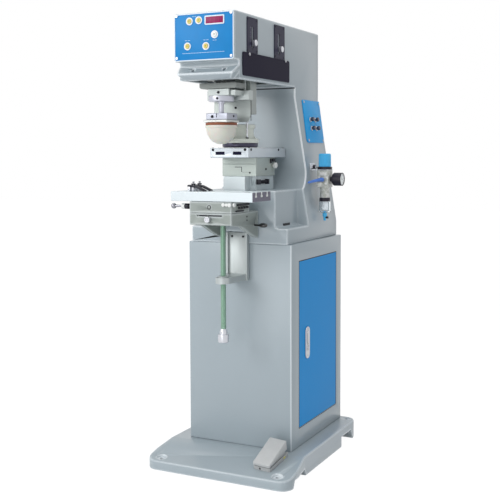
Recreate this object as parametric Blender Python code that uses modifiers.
"""Pad printing machine on a floor stand: a sealed ink cup, a silicone pad on a travelling ram,
and a worktable on a screw-lifted knee.

Metres, +Z up. X runs to the machine's right and the control panel faces -Y. The origin is on the
floor under the middle of the cabinet.
"""
from math import atan, cos, pi, radians, sin

import bmesh
import bpy
from mathutils import Euler, Matrix, Vector

# Driving dimensions
BASE_HEIGHT = 0.058
CABINET_WIDTH = 0.336
CABINET_DEPTH = 0.395
CABINET_HEIGHT = 0.599
CASTING_LEDGE = 0.011
CASTING_BACK_LEDGE = 0.0115
HEAD_WIDTH = 0.1852
HEAD_HEIGHT = 0.180
HEAD_REACH = 0.397
SHELF_RISE = 0.1545
BED_RISE = 0.1230
THROAT_HEIGHT = 0.1849
BLOCK_PROUD = 0.0015
RAM_Y = -0.3015
CUP_Y = -0.1866
TABLE_LENGTH = 0.2576
TABLE_DEPTH = 0.115
CARRIAGE_BACK = -0.1965
CARRIAGE_TRAVEL = 0.118
RAM_TRAVEL = 0.080
BUTTON_TRAVEL = 0.0015

# Clearances
GAP = 0.0003
RUNNING_GAP = 0.0005
SLIDE_GAP = 0.001
OVERRUN = 0.002
MERGE_DISTANCE = 0.00001

# Levels that the pieces share
CABINET_FOOT = BASE_HEIGHT + GAP
CABINET_TOP = CABINET_FOOT + CABINET_HEIGHT
CASTING_FOOT = CABINET_TOP + GAP
SHELF_TOP = CASTING_FOOT + SHELF_RISE
HEAD_BOTTOM = SHELF_TOP + BED_RISE + THROAT_HEIGHT
OVERALL_HEIGHT = HEAD_BOTTOM + HEAD_HEIGHT
HEAD_SIDE = HEAD_WIDTH / 2
HEAD_FRONT = -HEAD_REACH
CABINET_SIDE = CABINET_WIDTH / 2
CABINET_BACK = CABINET_DEPTH / 2
CASTING_SIDE = CABINET_SIDE - CASTING_LEDGE
CASTING_BACK = CABINET_BACK - CASTING_BACK_LEDGE
BLOCK_FRONT = -CABINET_BACK - BLOCK_PROUD

for old in list(bpy.data.objects):
    bpy.data.objects.remove(old)

PARTS = bpy.data.collections.new("pad_printing_machine")
TOOLS = bpy.data.collections.new("cutters")
bpy.context.scene.collection.children.link(PARTS)
bpy.context.scene.collection.children.link(TOOLS)

TURN = {"X": Euler((0, pi / 2, 0)), "-X": Euler((0, -pi / 2, 0)), "Y": Euler((-pi / 2, 0, 0)),
        "-Y": Euler((pi / 2, 0, 0)), "Z": Euler((0, 0, 0))}
DRAWN = {"X": Matrix(((0, 0, 1), (1, 0, 0), (0, 1, 0))),
         "Y": Matrix(((1, 0, 0), (0, 0, -1), (0, 1, 0))),
         "Z": Matrix.Identity(3)}
ROUND = 24
KNOB_EDGE_SHARE = 0.2
KNOB_NECK_SHARE = 0.65


def paint(name, colour, roughness, metallic=0):
    """A Principled material with the piece's own colour."""
    made = bpy.data.materials.new(name)
    made.use_nodes = True
    shader = made.node_tree.nodes["Principled BSDF"]
    shader.inputs["Base Color"].default_value = (*colour, 1)
    shader.inputs["Roughness"].default_value = roughness
    shader.inputs["Metallic"].default_value = metallic
    return made


GREY_ENAMEL = paint("grey_enamel", (0.36, 0.43, 0.46), 0.35)
BLUE_ENAMEL = paint("blue_enamel", (0.05, 0.26, 0.60), 0.35)
DARK_ENAMEL = paint("dark_enamel", (0.02, 0.017, 0.04), 0.4)
MACHINED = paint("machined_aluminium", (0.62, 0.66, 0.66), 0.35, 1)
STEEL = paint("bright_steel", (0.66, 0.67, 0.68), 0.25, 1)
BLACK_OXIDE = paint("black_oxide", (0.03, 0.03, 0.035), 0.45, 1)
YELLOW_PLASTIC = paint("yellow_plastic", (0.80, 0.66, 0.12), 0.35)
WHITE_PLASTIC = paint("white_plastic", (0.80, 0.80, 0.78), 0.35)
BLUE_PLASTIC = paint("blue_plastic", (0.04, 0.34, 0.68), 0.35)
BEIGE_PLASTIC = paint("beige_plastic", (0.55, 0.56, 0.54), 0.5)
CLEAR_PLASTIC = paint("clear_plastic", (0.75, 0.80, 0.82), 0.1)
SILICONE = paint("cream_silicone", (0.70, 0.67, 0.53), 0.4)
CREAM_CERAMIC = paint("cream_hood", (0.74, 0.77, 0.64), 0.35)
PAD_WOOD = paint("pad_wood", (0.34, 0.12, 0.06), 0.6)


def pivot(name, place, parent=None, turned_by=(0, 0, 0)):
    """An empty on a joint's axis, or on a tilted seat: turned about Z first, then Y, then X."""
    empty = bpy.data.objects.new(name, None)
    PARTS.objects.link(empty)
    empty.location = place
    empty.rotation_mode = "ZYX"
    empty.rotation_euler = turned_by
    ride(empty, parent)
    return empty


def ride(obj, parent):
    """Parent a piece. A tilted parent keeps its own coordinates, an upright one the machine's."""
    if parent is None:
        return
    obj.parent = parent
    if not any(parent.rotation_euler):
        obj.matrix_parent_inverse = Matrix.Translation(-parent.location)


def keep(name, mesh, place, finish, parent, smooth=False):
    """Link a mesh as a sub-part, or as a cutter where it has no finish."""
    obj = bpy.data.objects.new(name, mesh)
    obj.location = place
    ride(obj, parent)
    if smooth:
        mesh.shade_smooth()
        mesh.set_sharp_from_angle(angle=radians(35))
    if finish is None:
        TOOLS.objects.link(obj)
        obj.hide_render = True
        obj.display_type = "WIRE"
    else:
        PARTS.objects.link(obj)
        mesh.materials.append(finish)
    return obj


def box(name, low, high, finish=None, parent=None, top_scale=(1, 1)):
    """A block between two corners; top_scale draws in its upper face."""
    low = Vector(low)
    high = Vector(high)
    shape = bmesh.new()
    bmesh.ops.create_cube(shape, size=1)
    upper = [vert for vert in shape.verts if vert.co.z > 0]
    bmesh.ops.scale(shape, vec=(top_scale[0], top_scale[1], 1), verts=upper)
    bmesh.ops.scale(shape, vec=high - low, verts=shape.verts)
    mesh = bpy.data.meshes.new(name)
    shape.to_mesh(mesh)
    shape.free()
    return keep(name, mesh, (low + high) / 2, finish, parent)


def rod(name, foot, radius, length, axis="Z", finish=None, parent=None, tip=None, sides=ROUND):
    """A cylinder, or a cone with a tip radius, from its foot along an axis."""
    shape = bmesh.new()
    end_radius = radius if tip is None else tip
    bmesh.ops.create_cone(shape, cap_ends=True, segments=sides, radius1=radius,
                          radius2=end_radius, depth=abs(length))
    bmesh.ops.translate(shape, vec=(0, 0, length / 2), verts=shape.verts)
    bmesh.ops.rotate(shape, cent=(0, 0, 0), matrix=TURN[axis].to_matrix(), verts=shape.verts)
    mesh = bpy.data.meshes.new(name)
    shape.to_mesh(mesh)
    shape.free()
    return keep(name, mesh, foot, finish, parent, smooth=True)


def turned(name, foot, profile, axis="Z", finish=None, parent=None, sides=ROUND, ring=False):
    """A turned piece: (radius, height) points, down its outer side from the top."""
    mesh = bpy.data.meshes.new(name)
    points = [(radius, 0, height) for radius, height in profile]
    edges = [(i, i + 1) for i in range(len(points) - 1)]
    if ring:
        edges.append((len(points) - 1, 0))
    mesh.from_pydata(points, edges, [])
    obj = keep(name, mesh, foot, finish, parent)
    obj.rotation_euler = TURN[axis]
    spin = obj.modifiers.new("Turn", "SCREW")
    spin.axis = "Z"
    spin.steps = sides
    spin.render_steps = sides
    spin.use_merge_vertices = True
    spin.merge_threshold = MERGE_DISTANCE
    spin.use_smooth_shade = True
    return obj


def outline(name, points, axis, low, high, finish=None, parent=None):
    """A flat outline drawn square to an axis and extruded from low to high along it."""
    curve = bpy.data.curves.new(name, "CURVE")
    curve.dimensions = "2D"
    curve.fill_mode = "BOTH"
    curve.extrude = (high - low) / 2
    spline = curve.splines.new("POLY")
    spline.points.add(len(points) - 1)
    for point, (across, along) in zip(spline.points, points):
        point.co = (across, along, 0, 1)
    spline.use_cyclic_u = True
    drawn = bpy.data.objects.new(name + "_outline", curve)
    TOOLS.objects.link(drawn)
    depsgraph = bpy.context.evaluated_depsgraph_get()
    mesh = bpy.data.meshes.new_from_object(drawn.evaluated_get(depsgraph))
    bpy.data.objects.remove(drawn)
    shape = bmesh.new()
    shape.from_mesh(mesh)
    bmesh.ops.remove_doubles(shape, verts=shape.verts, dist=MERGE_DISTANCE)
    bmesh.ops.recalc_face_normals(shape, faces=shape.faces)
    lift = DRAWN[axis] @ Vector((0, 0, 1)) * (low + high) / 2
    if axis == "Y":
        lift = -lift
    bmesh.ops.rotate(shape, cent=(0, 0, 0), matrix=DRAWN[axis], verts=shape.verts)
    bmesh.ops.translate(shape, vec=lift, verts=shape.verts)
    shape.to_mesh(mesh)
    shape.free()
    mesh.materials.clear()
    return keep(name, mesh, (0, 0, 0), finish, parent)


def boolean(obj, tool, operation):
    step = obj.modifiers.new(tool.name, "BOOLEAN")
    step.operation = operation
    step.solver = "EXACT"
    step.object = tool
    return obj


def cut(obj, *tools):
    for tool in tools:
        boolean(obj, tool, "DIFFERENCE")
    return obj


def fuse(obj, *tools):
    for tool in tools:
        boolean(obj, tool, "UNION")
    return obj


def round_edges(obj, width, segments=2):
    step = obj.modifiers.new("Rounded edges", "BEVEL")
    step.width = width
    step.segments = segments
    step.limit_method = "ANGLE"
    step.angle_limit = radians(30)
    return obj


def arc(across, along, radius, start, end, steps=5):
    """Points of an arc about a centre, its angles in degrees."""
    angles = [radians(start + (end - start) * i / steps) for i in range(steps + 1)]
    return [(across + radius * cos(angle), along + radius * sin(angle)) for angle in angles]


def rounded(low, high, radius, steps=4):
    """A rectangle's outline with round corners."""
    return (arc(high[0] - radius, high[1] - radius, radius, 0, 90, steps)
            + arc(low[0] + radius, high[1] - radius, radius, 90, 180, steps)
            + arc(low[0] + radius, low[1] + radius, radius, 180, 270, steps)
            + arc(high[0] - radius, low[1] + radius, radius, 270, 360, steps))


def knob_profile(radius, top, head, seat, shaft, foot):
    """A knob's (radius, height) points: a chamfered head on a narrower neck, and its shaft."""
    edge = radius * KNOB_EDGE_SHARE
    neck = radius * KNOB_NECK_SHARE
    return [(0, top), (radius - edge, top), (radius, top - edge), (radius, head), (neck, head),
            (neck, seat), (shaft, seat), (shaft, foot), (0, foot)]


def mirrored(points):
    """Close an outline drawn on its +X side, top to bottom, with its mirror image."""
    return points + [(-across, along) for across, along in reversed(points)]


# Base casting: a low cast plate on skirts, sloping down to the front, with an ear at each corner.
BASE_LEDGE = 0.050
EAR_PROUD = 0.0116
BASE_APRON = 0.1595
BASE_BACK_LEDGE = 0.0165
BASE_CORNER = 0.034
BASE_WALL = 0.012
LIP_HEIGHT = 0.028
APRON_LEDGE = 0.0225
EAR_END_REACH = 0.0925
WAIST_LEDGE = 0.0175
RIB_WIDTH = 0.014
ARCH_SLANT = 0.011
FRONT_ARCH_REACH = (0.1145, 0.018)
FRONT_ARCH_HEIGHT = 0.022
REAR_ARCH_IN = (0.1215, 0.0375)
REAR_ARCH_HEIGHT = 0.033
BOLT_RADIUS = 0.006
SPOT_RADIUS = 0.015
SPOT_DEPTH = 0.0015
FRONT_BOLT_IN = (0.0426, 0.023)
REAR_BOLT_IN = (0.028, 0.023)
BASE_SIDE = CABINET_SIDE + BASE_LEDGE
EAR_SIDE = BASE_SIDE + EAR_PROUD
BASE_BACK = CABINET_BACK + BASE_BACK_LEDGE
BASE_FRONT = -CABINET_BACK - BASE_APRON
APRON_TOP_Y = -CABINET_BACK - APRON_LEDGE
EAR_END_Y = -CABINET_BACK - EAR_END_REACH
WAIST_Y = -CABINET_BACK - WAIST_LEDGE
FRONT_ARCH = (-CABINET_BACK - FRONT_ARCH_REACH[0], -CABINET_BACK - FRONT_ARCH_REACH[1])
REAR_ARCH = (CABINET_BACK - REAR_ARCH_IN[0], CABINET_BACK - REAR_ARCH_IN[1])
FRONT_BOLT = (EAR_SIDE - FRONT_BOLT_IN[0], BASE_FRONT + FRONT_BOLT_IN[1])
REAR_BOLT = (BASE_SIDE - REAR_BOLT_IN[0], BASE_BACK - REAR_BOLT_IN[1])


def apron_height(y):
    """The height of the base's top surface at a place along Y."""
    share = (y - BASE_FRONT) / (APRON_TOP_Y - BASE_FRONT)
    return LIP_HEIGHT + (BASE_HEIGHT - LIP_HEIGHT) * min(max(share, 0), 1)


def base_casting():
    side = [(BASE_FRONT, 0), (BASE_BACK, 0), (BASE_BACK, BASE_HEIGHT),
            (APRON_TOP_Y, BASE_HEIGHT), (BASE_FRONT, LIP_HEIGHT)]
    body = outline("base_casting", side, "X", -EAR_SIDE, EAR_SIDE, GREY_ENAMEL)
    corner = BASE_CORNER
    half = (arc(BASE_SIDE - corner, BASE_BACK - corner, corner, 90, 0)
            + [(BASE_SIDE, WAIST_Y), (EAR_SIDE, EAR_END_Y)]
            + arc(EAR_SIDE - corner, BASE_FRONT + corner, corner, 0, -90))
    plan = outline("base_plan", mirrored(half), "Z", -OVERRUN, BASE_HEIGHT + OVERRUN)
    boolean(body, plan, "INTERSECT")
    round_edges(body, BASE_WALL / 4)
    hollow_back = REAR_ARCH[1] + BASE_WALL
    for name, left, right in (("left", -BASE_SIDE + BASE_WALL, -RIB_WIDTH / 2),
                              ("right", RIB_WIDTH / 2, BASE_SIDE - BASE_WALL)):
        cut(body, box("base_hollow_" + name, (left, WAIST_Y + BASE_WALL * 2, -OVERRUN),
                      (right, hollow_back, BASE_HEIGHT - BASE_WALL)))
    cut(body, base_arch("front", FRONT_ARCH, FRONT_ARCH_HEIGHT, -ARCH_SLANT, ARCH_SLANT))
    cut(body, base_arch("rear", REAR_ARCH, REAR_ARCH_HEIGHT, 0, ARCH_SLANT * 2))
    for name, place in (("front", FRONT_BOLT), ("rear", REAR_BOLT)):
        for side_name, sign in (("left", -1), ("right", 1)):
            x = sign * place[0]
            seat = apron_height(place[1] - SPOT_RADIUS / 2) - SPOT_DEPTH
            hole = rod(f"bolt_hole_{name}_{side_name}", (x, place[1], -OVERRUN), BOLT_RADIUS,
                       BASE_HEIGHT + OVERRUN * 2, sides=12)
            spot = rod(f"spot_face_{name}_{side_name}", (x, place[1], seat), SPOT_RADIUS,
                       BASE_HEIGHT, sides=16)
            cut(body, hole, spot)


def base_arch(name, span, height, front_slant, rear_slant):
    """A cutter for an arch right across the base, its two sides leaning outward."""
    front, rear = span
    points = [(front + front_slant, -OVERRUN), (rear + rear_slant, -OVERRUN), (rear, height),
              (front, height)]
    return outline("base_arch_" + name, points, "X", -EAR_SIDE - OVERRUN, EAR_SIDE + OVERRUN)


# Cabinet: a folded sheet-steel box whose right side has a doorway with turned-in edges.
SHEET = 0.002
DOOR_MARGIN_Y = (0.0555, 0.0445)
DOOR_MARGIN_Z = (0.0567, 0.0513)
DOOR_DEPTH = 0.012
DOOR_SKIN = 0.0015
DOOR_GAP = 0.0008
DOOR_PIVOT_IN = 0.005
DOOR_PIVOT_DEEP = 0.002
DOOR_PIN_RADIUS = 0.0013
DOOR_PIN_LENGTH = 0.004
DOOR_Y = (DOOR_MARGIN_Y[0] - CABINET_BACK, CABINET_BACK - DOOR_MARGIN_Y[1])
DOOR_Z = (CABINET_FOOT + DOOR_MARGIN_Z[0], CABINET_TOP - DOOR_MARGIN_Z[1])
DOOR_MIDDLE_Z = (DOOR_Z[0] + DOOR_Z[1]) / 2
DOOR_PIVOT = (CABINET_SIDE - DOOR_PIVOT_DEEP, DOOR_Y[1] - DOOR_PIVOT_IN)


def cabinet_shell():
    body = box("cabinet_shell", (-CABINET_SIDE, -CABINET_BACK, CABINET_FOOT),
               (CABINET_SIDE, CABINET_BACK, CABINET_TOP), GREY_ENAMEL)
    round_edges(body, SHEET)
    inner = box("cabinet_inside", (-CABINET_SIDE + SHEET, -CABINET_BACK + SHEET, CABINET_FOOT + SHEET),
                (CABINET_SIDE - SHEET, CABINET_BACK - SHEET, CABINET_TOP - SHEET))
    cut(body, inner)
    low_y = DOOR_Y[0] - DOOR_GAP
    high_y = DOOR_Y[1] + DOOR_GAP
    low_z = DOOR_Z[0] - DOOR_GAP
    high_z = DOOR_Z[1] + DOOR_GAP
    frame = box("doorway_flange", (CABINET_SIDE - DOOR_DEPTH, low_y - SHEET, low_z - SHEET),
                (CABINET_SIDE - SHEET / 2, high_y + SHEET, high_z + SHEET))
    doorway = box("doorway", (CABINET_SIDE - DOOR_DEPTH - OVERRUN, low_y, low_z),
                  (CABINET_SIDE + OVERRUN, high_y, high_z))
    pin_hole = rod("door_pin_hole", (*DOOR_PIVOT, DOOR_Z[0] - DOOR_PIN_LENGTH - SHEET),
                   DOOR_PIN_RADIUS + GAP, DOOR_Z[1] - DOOR_Z[0] + (DOOR_PIN_LENGTH + SHEET) * 2, sides=12)
    fuse(body, frame)
    cut(body, doorway, pin_hole)


def cabinet_door():
    hinge = pivot("door_hinge", (*DOOR_PIVOT, DOOR_Z[0]))
    body = box("cabinet_door", (CABINET_SIDE - DOOR_DEPTH, DOOR_Y[0], DOOR_Z[0]),
               (CABINET_SIDE, DOOR_Y[1], DOOR_Z[1]), BLUE_ENAMEL, hinge)
    inside = box("door_inside",
                 (CABINET_SIDE - DOOR_DEPTH - OVERRUN, DOOR_Y[0] + DOOR_SKIN, DOOR_Z[0] + DOOR_SKIN),
                 (CABINET_SIDE - DOOR_SKIN, DOOR_Y[1] - DOOR_SKIN, DOOR_Z[1] - DOOR_SKIN), parent=hinge)
    block = box("door_pin_block",
                (CABINET_SIDE - DOOR_DEPTH / 2, DOOR_Y[1] - DOOR_PIVOT_IN * 2, DOOR_Z[0]),
                (CABINET_SIDE - DOOR_SKIN / 2, DOOR_Y[1] - DOOR_SKIN / 2, DOOR_Z[1]), parent=hinge)
    pin = rod("door_pin", (*DOOR_PIVOT, DOOR_Z[0] - DOOR_PIN_LENGTH), DOOR_PIN_RADIUS,
              DOOR_Z[1] - DOOR_Z[0] + DOOR_PIN_LENGTH * 2, parent=hinge, sides=12)
    hole = rod("door_lock_hole", (CABINET_SIDE - DOOR_DEPTH, LOCK_KEY_Y, LOCK_KEY_Z),
               KEY_RADIUS + GAP * 2, DOOR_DEPTH * 2, "X", parent=hinge, sides=20)
    cut(body, inside)
    fuse(body, block, pin)
    cut(body, hole)
    door_lock(hinge)


# Door lock: a plate with a finger grip, and a key cylinder that turns in it.
LOCK_IN = (0.044, 0.074)
LOCK_REACH = (0.0505, 0.0445)
LOCK_THICKNESS = 0.003
LOCK_CORNER = 0.0136
GRIP_PROUD = 0.004
GRIP_RISE = 0.0117
GRIP_TOP_DROP = 0.0104
GRIP_CORNER = 0.0058
KEY_RADIUS = 0.0065
KEY_PROUD = 0.0035
KEY_RISE = 0.032
KEY_EDGE = 0.001
KEY_LENGTH = 0.016
KEY_SLOT_WIDTH = 0.0016
KEY_SLOT_DEPTH = 0.0023
CAM_LENGTH = 0.020
CAM_THICKNESS = 0.002
LOCK_Y = (DOOR_Y[0] + LOCK_IN[0], DOOR_Y[0] + LOCK_IN[1])
LOCK_Z = (DOOR_MIDDLE_Z - LOCK_REACH[0], DOOR_MIDDLE_Z + LOCK_REACH[1])
LOCK_KEY_Y = (LOCK_Y[0] + LOCK_Y[1]) / 2
LOCK_KEY_Z = LOCK_Z[0] + KEY_RISE


def door_lock(hinge):
    face = CABINET_SIDE + GAP
    top = face + LOCK_THICKNESS
    plate = outline("door_lock_plate",
                    rounded((LOCK_Y[0], LOCK_Z[0]), (LOCK_Y[1], LOCK_Z[1]), LOCK_CORNER),
                    "X", face, top, STEEL, hinge)
    grip = outline("door_lock_grip",
                   rounded((LOCK_KEY_Y - KEY_RADIUS, LOCK_KEY_Z + GRIP_RISE),
                           (LOCK_KEY_Y + KEY_RADIUS, LOCK_Z[1] - GRIP_TOP_DROP), GRIP_CORNER),
                   "X", face + LOCK_THICKNESS / 2, top + GRIP_PROUD, parent=hinge)
    bore = rod("key_bore", (face - OVERRUN, LOCK_KEY_Y, LOCK_KEY_Z), KEY_RADIUS + GAP,
               LOCK_THICKNESS + OVERRUN * 2, "X", parent=hinge, sides=20)
    fuse(plate, grip)
    cut(plate, bore)
    key_pivot = pivot("key_turn", (face, LOCK_KEY_Y, LOCK_KEY_Z), hinge)
    proud = LOCK_THICKNESS + KEY_PROUD
    cylinder = turned("door_lock_cylinder", (face, LOCK_KEY_Y, LOCK_KEY_Z),
                      [(0, proud), (KEY_RADIUS - KEY_EDGE, proud), (KEY_RADIUS, proud - KEY_EDGE),
                       (KEY_RADIUS, -KEY_LENGTH), (0, -KEY_LENGTH)],
                      "X", STEEL, key_pivot, sides=20)
    half_slot = KEY_SLOT_WIDTH / 2
    half = KEY_RADIUS / 2
    slot = box("key_slot",
               (top + KEY_PROUD - KEY_SLOT_DEPTH, LOCK_KEY_Y - half_slot, LOCK_KEY_Z - half),
               (top + KEY_PROUD + OVERRUN, LOCK_KEY_Y + half_slot, LOCK_KEY_Z + half), parent=key_pivot)
    cam = box("lock_cam", (face - KEY_LENGTH, LOCK_KEY_Y - half, LOCK_KEY_Z - CAM_LENGTH),
              (face - KEY_LENGTH + CAM_THICKNESS, LOCK_KEY_Y + half, LOCK_KEY_Z), parent=key_pivot)
    cut(cylinder, slot)
    fuse(cylinder, cam)


# Frame casting: one hollow C-frame from the flange on the cabinet to the head over the table.
FLANGE_HEIGHT = 0.0465
SHELF_INSET = 0.039
SHELF_FOOT_RADIUS = 0.011
TAPER_DROP = 0.0299
COLUMN_SWEEP_TOP = 0.0735
COLUMN_STEP = 0.045
CASTING_WALL = 0.012
HEAD_WALL = 0.0126
HEAD_FRONT_WALL = 0.040
HEAD_MOUTH_BACK = -0.012
HEAD_CAVITY_BACK = 0.165
HEAD_FLOOR = 0.012
CASTING_EDGE = 0.003
NOSE_HEIGHT = 0.0495
NOSE_LIP = 0.017
NOSE_CHAMFER = 0.014
NOSE_CORNER = (0.020, 0.023)
NOSE_DEPTH = 0.027
NOSE_FLOOR_RISE = 0.0212
NOSE_DRAWN_IN = 0.0073
NOSE_HOLE_RADIUS = 0.0045
NOSE_HOLE_X = (-0.042, 0.055)
NOSE_HOLE_RISE = 0.0245
NOSE_HOLE_DEPTH = 0.008
WAY_SIDE = 0.0346
WAY_DEPTH = 0.0145
WAY_TOP_DROP = 0.010
SHELF_SIDE = CASTING_SIDE - SHELF_INSET
FLANGE_TOP = CASTING_FOOT + FLANGE_HEIGHT
TAPER_END = HEAD_BOTTOM - TAPER_DROP
CAVITY_SIDE = HEAD_SIDE - HEAD_WALL
CAVITY_FRONT = HEAD_FRONT + HEAD_FRONT_WALL
CAVITY_TOP = OVERALL_HEIGHT - HEAD_WALL
NOSE_TOP = HEAD_BOTTOM + NOSE_HEIGHT
WAY_FRONT = BLOCK_FRONT - WAY_DEPTH
COLUMN_SPREAD = CASTING_SIDE - HEAD_SIDE
COLUMN_SLOPE = COLUMN_SPREAD / (TAPER_END - FLANGE_TOP)
STROKE_SLOT_SIDE = 0.0046


def column_side(z):
    """The half width of the flared column at a height."""
    return HEAD_SIDE + COLUMN_SLOPE * (TAPER_END - z)


def frame_casting():
    sweep_radius = (COLUMN_SWEEP_TOP ** 2 + COLUMN_STEP ** 2) / (2 * COLUMN_STEP)
    sweep_angle = atan(COLUMN_SWEEP_TOP / (sweep_radius - COLUMN_STEP)) * 180 / pi
    sweep = arc(-sweep_radius, SHELF_TOP + COLUMN_SWEEP_TOP, sweep_radius, 0, -sweep_angle, 7)
    side = ([(-COLUMN_STEP, CASTING_FOOT), (CASTING_BACK, CASTING_FOOT), (CASTING_BACK, OVERALL_HEIGHT),
             (HEAD_FRONT, OVERALL_HEIGHT), (HEAD_FRONT, HEAD_BOTTOM), (0, HEAD_BOTTOM)] + sweep)
    body = outline("frame_casting", side, "X", -CASTING_SIDE, CASTING_SIDE, GREY_ENAMEL)
    front = mirrored([(HEAD_SIDE, OVERALL_HEIGHT), (HEAD_SIDE, TAPER_END),
                      (CASTING_SIDE, FLANGE_TOP), (CASTING_SIDE, CASTING_FOOT)])
    boolean(body, outline("column_front_view", front, "Y", HEAD_FRONT - OVERRUN, CASTING_BACK + OVERRUN),
            "INTERSECT")
    foot = SHELF_FOOT_RADIUS
    block = mirrored([(SHELF_SIDE, SHELF_TOP)]
                     + arc(SHELF_SIDE + foot, FLANGE_TOP + foot, foot, 180, 270)
                     + [(CASTING_SIDE, FLANGE_TOP), (CASTING_SIDE, CASTING_FOOT)])
    fuse(body, outline("shelf_block", block, "Y", BLOCK_FRONT, 0))
    way = box("knee_way", (-WAY_SIDE, WAY_FRONT, BRACKET_Z[1] + CASTING_EDGE + GAP),
              (WAY_SIDE, BLOCK_FRONT + CASTING_WALL / 2, SHELF_TOP - WAY_TOP_DROP))
    fuse(body, way)
    round_edges(body, CASTING_EDGE)
    cut(body, column_hollow(), shelf_hollow(), *head_hollow())
    for name, y in (("front", STROKE_FRONT_Y), ("rear", STROKE_REAR_Y)):
        low = (CAVITY_SIDE - OVERRUN, y - STROKE_SLOT_SIDE, STROKE_SLOT_Z[0])
        high = (HEAD_SIDE + OVERRUN, y + STROKE_SLOT_SIDE, STROKE_SLOT_Z[1])
        cut(body, box("stroke_slot_" + name, low, high))
    nose_cuts(body)


def column_hollow():
    """The flared core of the column, open down into the cabinet's top."""
    top = TAPER_END
    bottom_side = CASTING_SIDE - CASTING_WALL
    top_share = (HEAD_SIDE - CASTING_WALL) / bottom_side
    return box("column_hollow", (-bottom_side, CASTING_WALL, CASTING_FOOT - OVERRUN),
               (bottom_side, CASTING_BACK - CASTING_WALL, top), top_scale=(top_share, 1))


def shelf_hollow():
    side = SHELF_SIDE - CASTING_WALL
    return box("shelf_hollow", (-side, BLOCK_FRONT + CASTING_WALL, CASTING_FOOT - OVERRUN),
               (side, CASTING_WALL * 2, SHELF_TOP - CASTING_WALL))


def head_hollow():
    """The head's core: its mouth for the mechanism, the room behind, and the panel's window."""
    mouth = box("head_mouth", (-CAVITY_SIDE, CAVITY_FRONT, HEAD_BOTTOM - OVERRUN),
                (CAVITY_SIDE, HEAD_MOUTH_BACK, CAVITY_TOP))
    room = box("head_room", (-CAVITY_SIDE, HEAD_MOUTH_BACK - OVERRUN, HEAD_BOTTOM + HEAD_FLOOR),
               (CAVITY_SIDE, HEAD_CAVITY_BACK, CAVITY_TOP))
    window = box("panel_window", (-CAVITY_SIDE, HEAD_FRONT - OVERRUN, NOSE_TOP + HEAD_FLOOR),
                 (CAVITY_SIDE, CAVITY_FRONT + OVERRUN, CAVITY_TOP))
    return mouth, room, window


def nose_cuts(body):
    """The scoop below the panel, open at both sides: a sloped floor behind a chamfered lip."""
    back = HEAD_FRONT + NOSE_DEPTH
    lip = HEAD_BOTTOM + NOSE_LIP
    floor_top = lip + NOSE_FLOOR_RISE
    scoop = [(HEAD_FRONT - OVERRUN, NOSE_TOP), (back, NOSE_TOP), (back, floor_top), (HEAD_FRONT, lip),
             (HEAD_FRONT - OVERRUN, lip)]
    cut(body, outline("nose_scoop", scoop, "X", -HEAD_SIDE - OVERRUN, HEAD_SIDE + OVERRUN))
    below = HEAD_BOTTOM - OVERRUN
    chamfer = [(HEAD_FRONT - OVERRUN, below), (HEAD_FRONT + NOSE_CHAMFER, below),
               (HEAD_FRONT + NOSE_CHAMFER, HEAD_BOTTOM), (HEAD_FRONT, HEAD_BOTTOM + NOSE_CHAMFER),
               (HEAD_FRONT - OVERRUN, HEAD_BOTTOM + NOSE_CHAMFER)]
    cut(body, outline("nose_chamfer", chamfer, "X", -HEAD_SIDE - OVERRUN, HEAD_SIDE + OVERRUN))
    for name, sign, hole_x in (("left", -1, NOSE_HOLE_X[0]), ("right", 1, NOSE_HOLE_X[1])):
        outside = sign * (HEAD_SIDE + OVERRUN)
        drawn_in = [(outside, HEAD_FRONT - OVERRUN),
                    (sign * (HEAD_SIDE - NOSE_DRAWN_IN), HEAD_FRONT - OVERRUN),
                    (sign * (HEAD_SIDE - NOSE_DRAWN_IN), HEAD_FRONT), (sign * HEAD_SIDE, back),
                    (outside, back)]
        cut(body, outline("nose_side_" + name, drawn_in, "Z", below, floor_top))
        corner = [(outside, below), (sign * (HEAD_SIDE - NOSE_CORNER[0]), below),
                  (sign * (HEAD_SIDE - NOSE_CORNER[0]), HEAD_BOTTOM),
                  (sign * HEAD_SIDE, HEAD_BOTTOM + NOSE_CORNER[1]), (outside, HEAD_BOTTOM + NOSE_CORNER[1])]
        cut(body, outline("nose_corner_" + name, corner, "Y", HEAD_FRONT - OVERRUN, back))
        hole = rod("nose_hole_" + name, (hole_x, HEAD_FRONT, HEAD_BOTTOM + NOSE_HOLE_RISE),
                   NOSE_HOLE_RADIUS, NOSE_DEPTH / 2 + NOSE_HOLE_DEPTH, "Y", sides=16)
        cut(body, hole)


# Control panel: a plate on the head's front with a display bezel and five push buttons.
PANEL_SIDE = 0.0915
PANEL_BOTTOM_RISE = 0.0505
PANEL_TOP_DROP = 0.0025
PANEL_THICKNESS = 0.003
PANEL_CORNER = 0.004
BEZEL_X = (0.004, 0.0637)
BEZEL_DROP = (0.0113, 0.0356)
BEZEL_WIDTH = 0.0032
BEZEL_PROUD = 0.0015
BUTTON_RING = 0.0093
BUTTON_RADIUS = 0.0064
RING_PROUD = 0.0018
BUTTON_EDGE = 0.001
BUTTON_PROUD = RING_PROUD + BUTTON_TRAVEL + RUNNING_GAP
BUTTON_FLANGE = 0.0076
BUTTON_FLANGE_THICKNESS = 0.0015
BUTTON_STEM_RADIUS = 0.003
BUTTON_STEM = 0.008
PANEL_BACK = HEAD_FRONT - GAP
PANEL_FACE = PANEL_BACK - PANEL_THICKNESS
PANEL_TOP = OVERALL_HEIGHT - PANEL_TOP_DROP
BUTTONS = {"button_select_left": (-0.0433, 0.0234, YELLOW_PLASTIC),
           "button_select_right": (-0.0143, 0.0220, YELLOW_PLASTIC),
           "button_counter": (0.0341, 0.0624, WHITE_PLASTIC),
           "button_start": (-0.0500, 0.0900, YELLOW_PLASTIC),
           "button_stop": (0.0073, 0.0920, YELLOW_PLASTIC)}


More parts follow.
